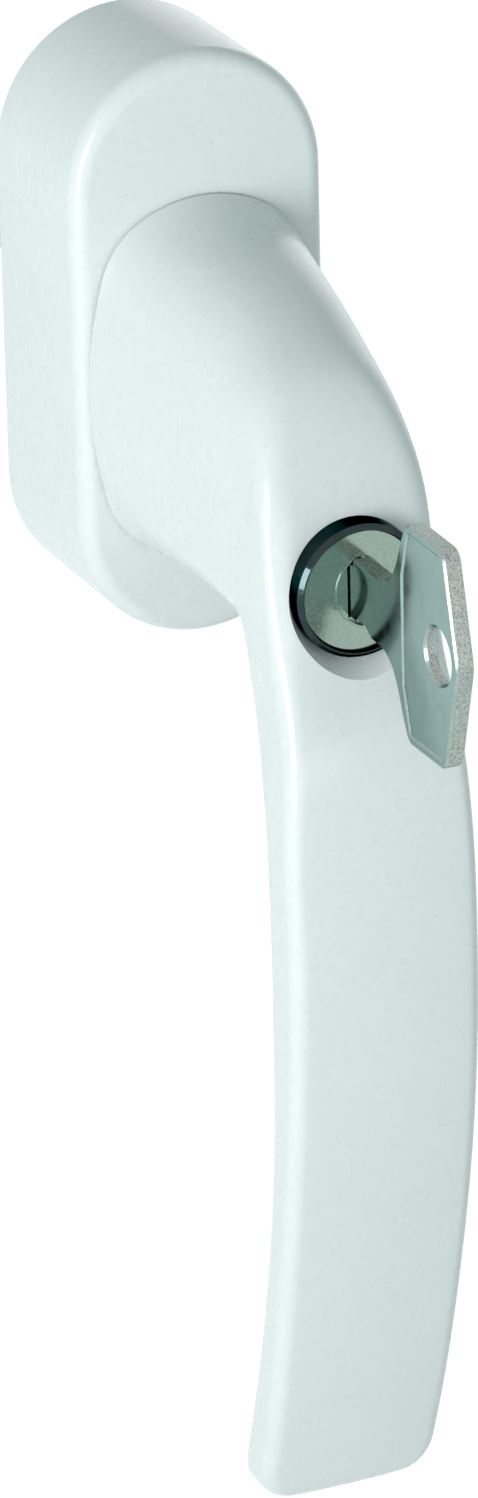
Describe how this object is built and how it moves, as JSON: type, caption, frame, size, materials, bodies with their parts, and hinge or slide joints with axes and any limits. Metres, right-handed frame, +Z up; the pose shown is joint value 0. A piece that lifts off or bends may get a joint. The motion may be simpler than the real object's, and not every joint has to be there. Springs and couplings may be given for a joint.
{
  "type": "locking window handle",
  "caption": "Locking window handle: upright oval rose, arched neck with a keyed lock, and a curved grip that turns a square spindle.",
  "frame": {"origin": "centre of the spindle, in the plane where the rose meets the window", "axes": "+Z up, +X to the right as the handle is faced, -Y out of the window into the room"},
  "size_m": [0.03, 0.1164, 0.1597],
  "materials": {
    "white_powder_coat": "gloss",
    "white_plastic": "satin",
    "dark_plastic": "satin",
    "zinc_steel": "satin",
    "hard_steel": "satin",
    "polished_chrome": "polished",
    "satin_nickel": "satin",
    "lock_brass": "machined"
  },
  "bodies": {
    "rose": {"rose_cover": "white_powder_coat", "base_body": "dark_plastic", "keeper_plate": "zinc_steel", "fixing_screws": "zinc_steel", "bearing_bush": "white_plastic", "glide_ring": "white_plastic", "detent_ball_upper": "hard_steel", "detent_ball_lower": "hard_steel", "detent_spring_upper": "hard_steel", "detent_spring_lower": "hard_steel"},
    "handle": {"handle_body": "white_powder_coat", "index_ring": "zinc_steel", "spacer_washer": "zinc_steel", "retaining_circlip": "hard_steel", "square_spindle": "zinc_steel", "spindle_roll_pin": "hard_steel", "lock_ring": "polished_chrome", "lock_housing": "lock_brass", "housing_grub_screw": "hard_steel"},
    "plug": {"cylinder_plug": "lock_brass", "plug_face_disc": "satin_nickel", "plug_clip": "hard_steel", "wafer_1": "lock_brass", "wafer_2": "lock_brass", "wafer_3": "lock_brass", "wafer_4": "lock_brass", "wafer_5": "lock_brass", "wafer_springs": "hard_steel"},
    "bolt": {"lock_bolt": "zinc_steel", "bolt_cross_pin": "hard_steel"},
    "key": {"key": "satin_nickel"}
  },
  "joints": [
    {"name": "handle_turn", "type": "hinge", "parent": "rose", "child": "handle", "pos_m": [0, 0, 0], "axis": [0, -1, 0], "range_deg": [0, 180]},
    {"name": "plug_turn", "type": "hinge", "parent": "handle", "child": "plug", "pos_m": [0, 0, -0.01465], "axis": [0, 1, 0], "range_deg": [0, 90]},
    {"name": "bolt_slide", "type": "slide", "parent": "plug", "child": "bolt", "axis": [0, 1, 0], "range_m": [0, 0.007]},
    {"name": "key_withdraw", "type": "slide", "parent": "plug", "child": "key", "axis": [0, -1, 0], "range_m": [0, 0.022]}
  ],
  "couplings": [
    {"joint": "bolt_slide", "follows": "plug_turn", "m_per_rad": 0.004456}
  ]
}
